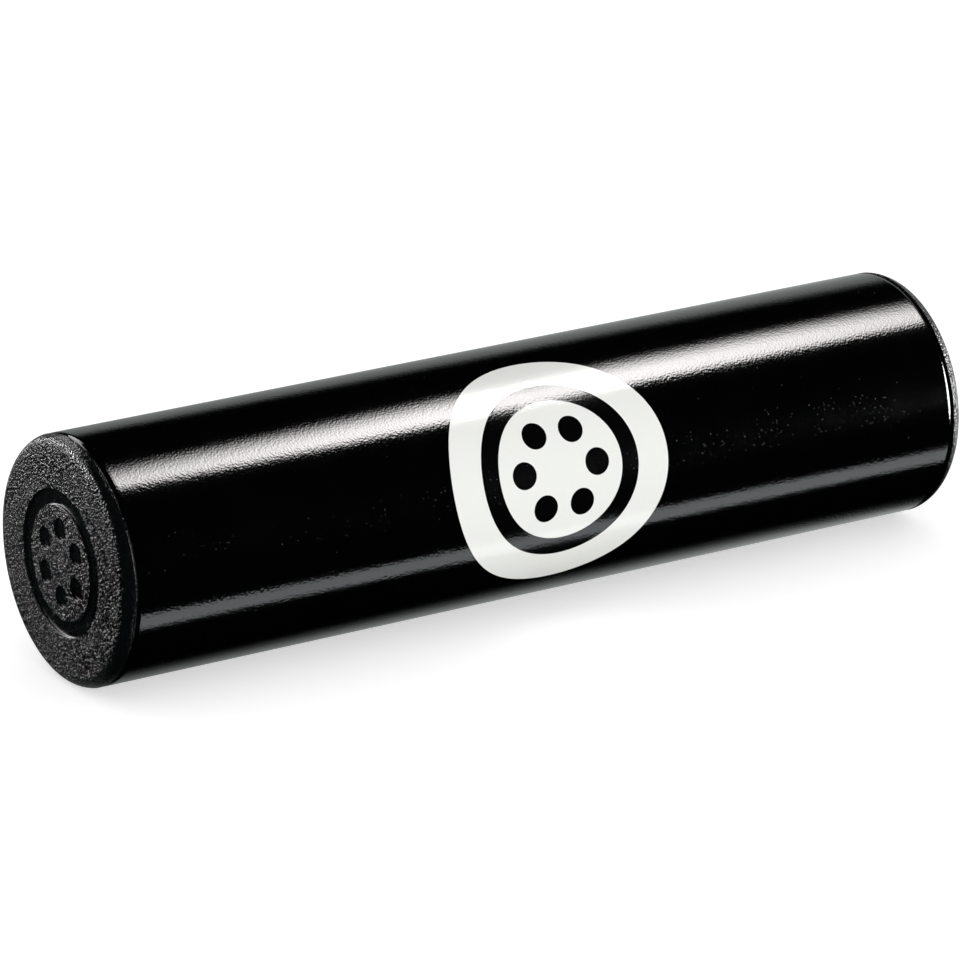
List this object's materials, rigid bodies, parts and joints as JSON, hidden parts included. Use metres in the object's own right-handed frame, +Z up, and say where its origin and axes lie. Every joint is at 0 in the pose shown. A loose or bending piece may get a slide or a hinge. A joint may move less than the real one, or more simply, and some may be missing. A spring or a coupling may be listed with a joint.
{
  "type": "tube shaker",
  "caption": "Hand percussion shaker: a round lacquered metal tube closed by a flat moulded cap at each end, with loose steel shot that slides inside it.",
  "frame": {"origin": "on the surface the shaker lies on, under the middle of the tube's length", "axes": "+X along the tube's axis, from the front cap to the rear cap; +Y across; +Z up from the surface it lies on"},
  "size_m": [0.1774, 0.045, 0.045],
  "materials": {
    "tube_lacquer": "gloss",
    "cap_plastic": "matte",
    "shot_steel": "polished"
  },
  "bodies": {
    "shell": {"tube_body": "tube_lacquer", "end_cap_front": "cap_plastic", "end_cap_rear": "cap_plastic"},
    "shot_lane_1": {"shot_1_01": "shot_steel", "shot_1_02": "shot_steel", "shot_1_03": "shot_steel", "shot_1_04": "shot_steel", "shot_1_05": "shot_steel", "shot_1_06": "shot_steel", "shot_1_07": "shot_steel", "shot_1_08": "shot_steel", "shot_1_09": "shot_steel", "shot_1_10": "shot_steel", "shot_1_11": "shot_steel"},
    "shot_lane_2": {"shot_2_01": "shot_steel", "shot_2_02": "shot_steel", "shot_2_03": "shot_steel", "shot_2_04": "shot_steel", "shot_2_05": "shot_steel", "shot_2_06": "shot_steel", "shot_2_07": "shot_steel", "shot_2_08": "shot_steel", "shot_2_09": "shot_steel", "shot_2_10": "shot_steel", "shot_2_11": "shot_steel"},
    "shot_lane_3": {"shot_3_01": "shot_steel", "shot_3_02": "shot_steel", "shot_3_03": "shot_steel", "shot_3_04": "shot_steel", "shot_3_05": "shot_steel", "shot_3_06": "shot_steel", "shot_3_07": "shot_steel", "shot_3_08": "shot_steel", "shot_3_09": "shot_steel", "shot_3_10": "shot_steel", "shot_3_11": "shot_steel"},
    "shot_lane_4": {"shot_4_01": "shot_steel", "shot_4_02": "shot_steel", "shot_4_03": "shot_steel", "shot_4_04": "shot_steel", "shot_4_05": "shot_steel", "shot_4_06": "shot_steel", "shot_4_07": "shot_steel", "shot_4_08": "shot_steel", "shot_4_09": "shot_steel", "shot_4_10": "shot_steel", "shot_4_11": "shot_steel"},
    "shot_lane_5": {"shot_5_01": "shot_steel", "shot_5_02": "shot_steel", "shot_5_03": "shot_steel", "shot_5_04": "shot_steel", "shot_5_05": "shot_steel", "shot_5_06": "shot_steel", "shot_5_07": "shot_steel", "shot_5_08": "shot_steel", "shot_5_09": "shot_steel", "shot_5_10": "shot_steel", "shot_5_11": "shot_steel"}
  },
  "joints": [
    {"name": "shot_lane_1_slide", "type": "slide", "parent": "shell", "child": "shot_lane_1", "axis": [1, 0, 0], "range_m": [0, 0.103]},
    {"name": "shot_lane_2_slide", "type": "slide", "parent": "shell", "child": "shot_lane_2", "axis": [1, 0, 0], "range_m": [0, 0.103]},
    {"name": "shot_lane_3_slide", "type": "slide", "parent": "shell", "child": "shot_lane_3", "axis": [1, 0, 0], "range_m": [0, 0.103]},
    {"name": "shot_lane_4_slide", "type": "slide", "parent": "shell", "child": "shot_lane_4", "axis": [1, 0, 0], "range_m": [0, 0.103]},
    {"name": "shot_lane_5_slide", "type": "slide", "parent": "shell", "child": "shot_lane_5", "axis": [1, 0, 0], "range_m": [0, 0.103]}
  ]
}
